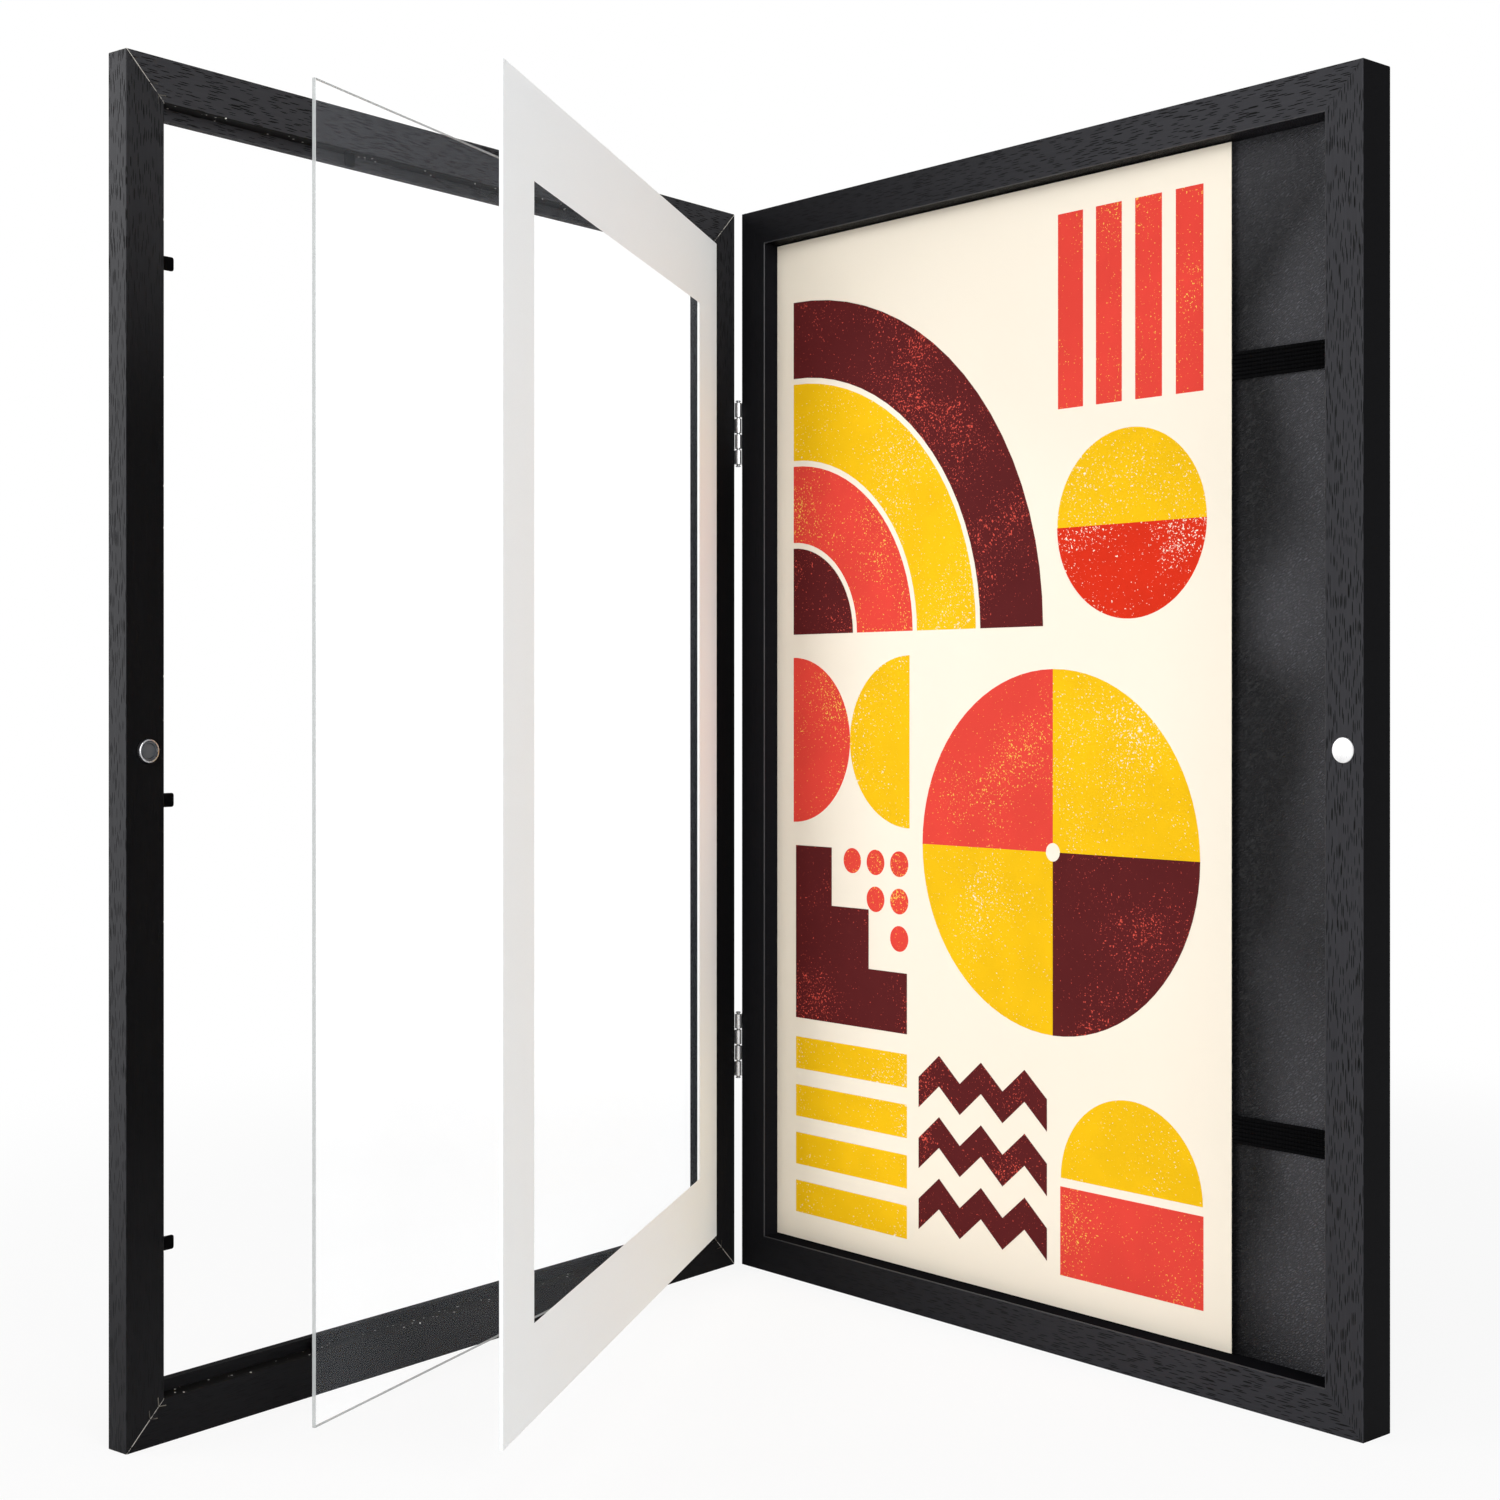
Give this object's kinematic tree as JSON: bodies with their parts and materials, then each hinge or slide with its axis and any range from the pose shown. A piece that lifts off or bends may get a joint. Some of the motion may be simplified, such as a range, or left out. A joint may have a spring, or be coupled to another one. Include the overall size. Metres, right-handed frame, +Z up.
{
  "type": "front opening picture frame",
  "caption": "Shallow wooden picture frame that opens like a book: a hinged door with a clear pane and a window mat, and a box with elastic straps for storing artwork.",
  "frame": {"origin": "middle of the back panel's rear face, which lies in the wall plane", "axes": "+Y into the wall, +Z up, +X to the latch side as seen from the front"},
  "size_m": [0.3502, 0.3566, 0.4904],
  "materials": {
    "frame_wood": "black stained open grain, satin",
    "back_board": "black faced hardboard, matte",
    "liner_sheet": "dark grey sheet with a fine leather grain",
    "elastic": "ribbed black elastic",
    "black_tab": "black coated flexible tab",
    "steel": "bright zinc plated",
    "nickel": "bright nickel plate",
    "print_paper": "matte paper with a printed design",
    "mat_card": "matte off-white card",
    "clear_sheet": "clear, glossy"
  },
  "bodies": {
    "box": {"art_print": "print_paper", "back_panel": "back_board", "box_nail_lower_hinge": "steel", "box_nail_lower_latch": "steel", "box_nail_upper_hinge": "steel", "box_nail_upper_latch": "steel", "box_rail_bottom": "frame_wood", "box_rail_top": "frame_wood", "box_stile_hinge": "frame_wood", "box_stile_latch": "frame_wood", "hanger": "steel", "hanger_nail_1": "steel", "hanger_nail_2": "steel", "hinge_box_screw_1": "steel", "hinge_box_screw_2": "steel", "hinge_box_screw_3": "steel", "hinge_box_screw_4": "steel", "hinge_lower_box_leaf": "steel", "hinge_lower_pin": "steel", "hinge_upper_box_leaf": "steel", "hinge_upper_pin": "steel", "latch_magnet": "nickel", "liner": "liner_sheet", "panel_screw_bottom": "steel", "panel_screw_hinge": "steel", "panel_screw_latch": "steel", "panel_screw_top": "steel", "strap_lower": "elastic", "strap_staple_lower_hinge": "steel", "strap_staple_lower_latch": "steel", "strap_staple_upper_hinge": "steel", "strap_staple_upper_latch": "steel", "strap_upper": "elastic"},
    "door": {"door_nail_lower_hinge": "steel", "door_nail_lower_latch": "steel", "door_nail_upper_hinge": "steel", "door_nail_upper_latch": "steel", "door_rail_bottom": "frame_wood", "door_rail_top": "frame_wood", "door_stile_hinge": "frame_wood", "door_stile_latch": "frame_wood", "hinge_door_screw_1": "steel", "hinge_door_screw_2": "steel", "hinge_door_screw_3": "steel", "hinge_door_screw_4": "steel", "hinge_lower_door_leaf": "steel", "hinge_upper_door_leaf": "steel", "latch_striker": "steel", "tab_bottom_1": "black_tab", "tab_bottom_2": "black_tab", "tab_hinge_1": "black_tab", "tab_hinge_2": "black_tab", "tab_hinge_3": "black_tab", "tab_latch_1": "black_tab", "tab_latch_2": "black_tab", "tab_latch_3": "black_tab", "tab_top_1": "black_tab"},
    "pane": {"clear_pane": "clear_sheet"},
    "mat": {"mat_board": "mat_card"}
  },
  "joints": [
    {"name": "door_hinge", "type": "hinge", "parent": "box", "child": "door", "pos_m": [-0.1702, -0.0191, 0], "axis": [0, 0, -1], "range_deg": [-79.2, 100.8]},
    {"name": "pane_swing", "type": "hinge", "parent": "door", "child": "pane", "pos_m": [-0.1732, -0.03779, 0], "axis": [0, 0, 1], "range_deg": [-14.01, 17.83]},
    {"name": "mat_swing", "type": "hinge", "parent": "door", "child": "mat", "pos_m": [-0.17238, -0.02659, 0], "axis": [0, 0, 1], "range_deg": [-26.01, 33.1], "deforming": ["tab_bottom_1", "tab_bottom_2", "tab_hinge_1", "tab_hinge_2", "tab_hinge_3", "tab_latch_1", "tab_latch_2", "tab_latch_3", "tab_top_1"]}
  ],
  "couplings": [
    {"joint": "pane_swing", "follows": "door_hinge", "ratio": 0.17677},
    {"joint": "mat_swing", "follows": "door_hinge", "ratio": 0.32828}
  ]
}
